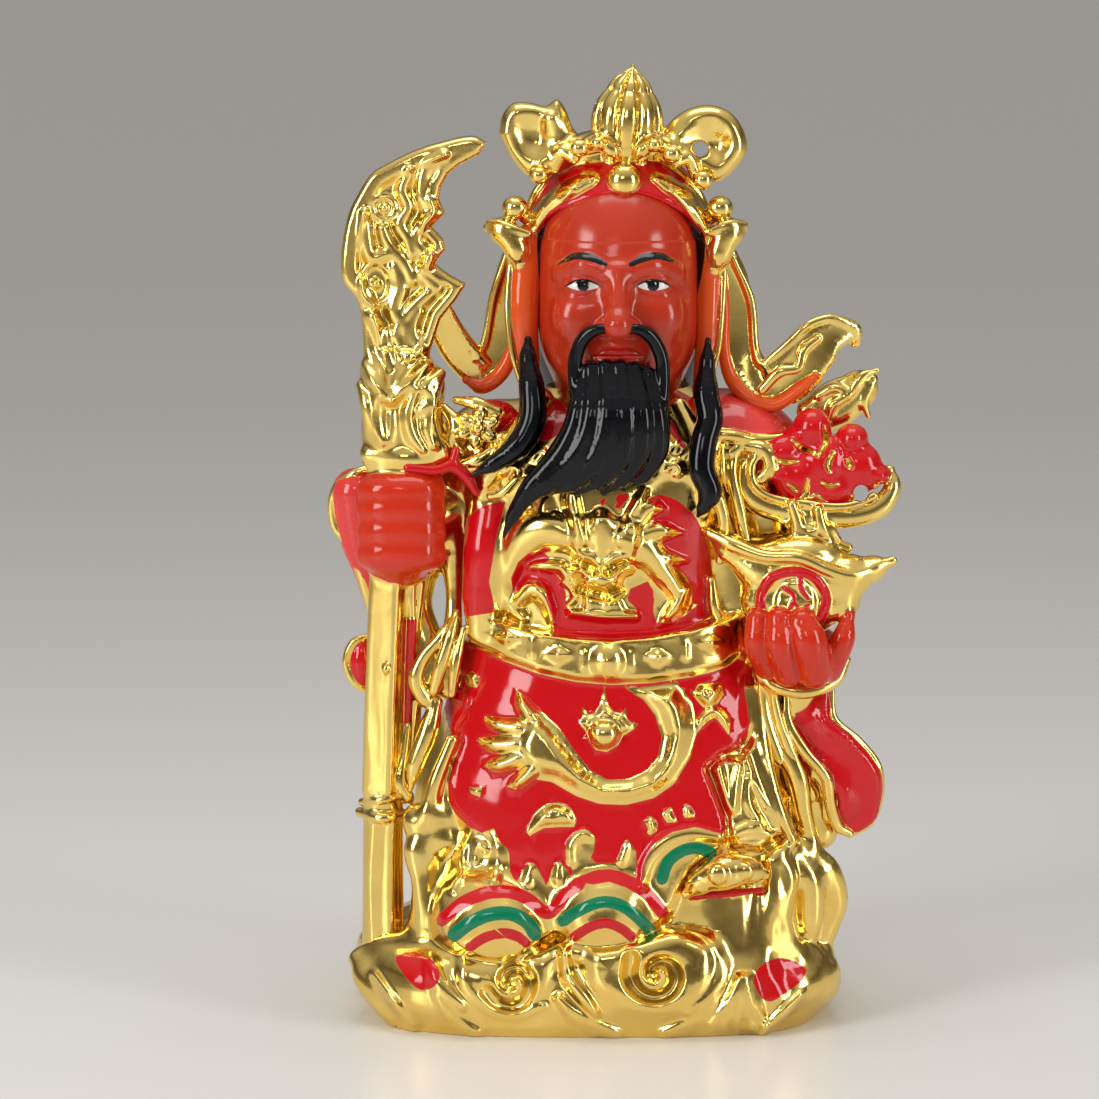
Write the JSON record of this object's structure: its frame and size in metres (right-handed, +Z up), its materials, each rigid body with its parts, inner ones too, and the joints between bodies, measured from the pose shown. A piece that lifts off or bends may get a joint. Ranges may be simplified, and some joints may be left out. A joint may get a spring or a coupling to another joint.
{
  "type": "ceramic guardian general statue",
  "caption": "Standing glazed ceramic figure of a bearded guardian general with a halberd and an ingot, cast in one with its cloud plinth.",
  "frame": {"origin": "middle of the flat underside of the cloud plinth, on the ground", "axes": "+Z up the figure, -Y the way it faces, +X to the right as seen from in front"},
  "size_m": [0.2503, 0.1516, 0.4196],
  "materials": {
    "gilt_glaze": "mirror gold plating over glaze",
    "red_enamel": "glossy red enamel over glaze",
    "face_enamel": "satin brick-red enamel",
    "black_enamel": "glossy black enamel"
  },
  "bodies": {
    "root": {"guardian_statue": "gilt_glaze"}
  },
  "joints": []
}
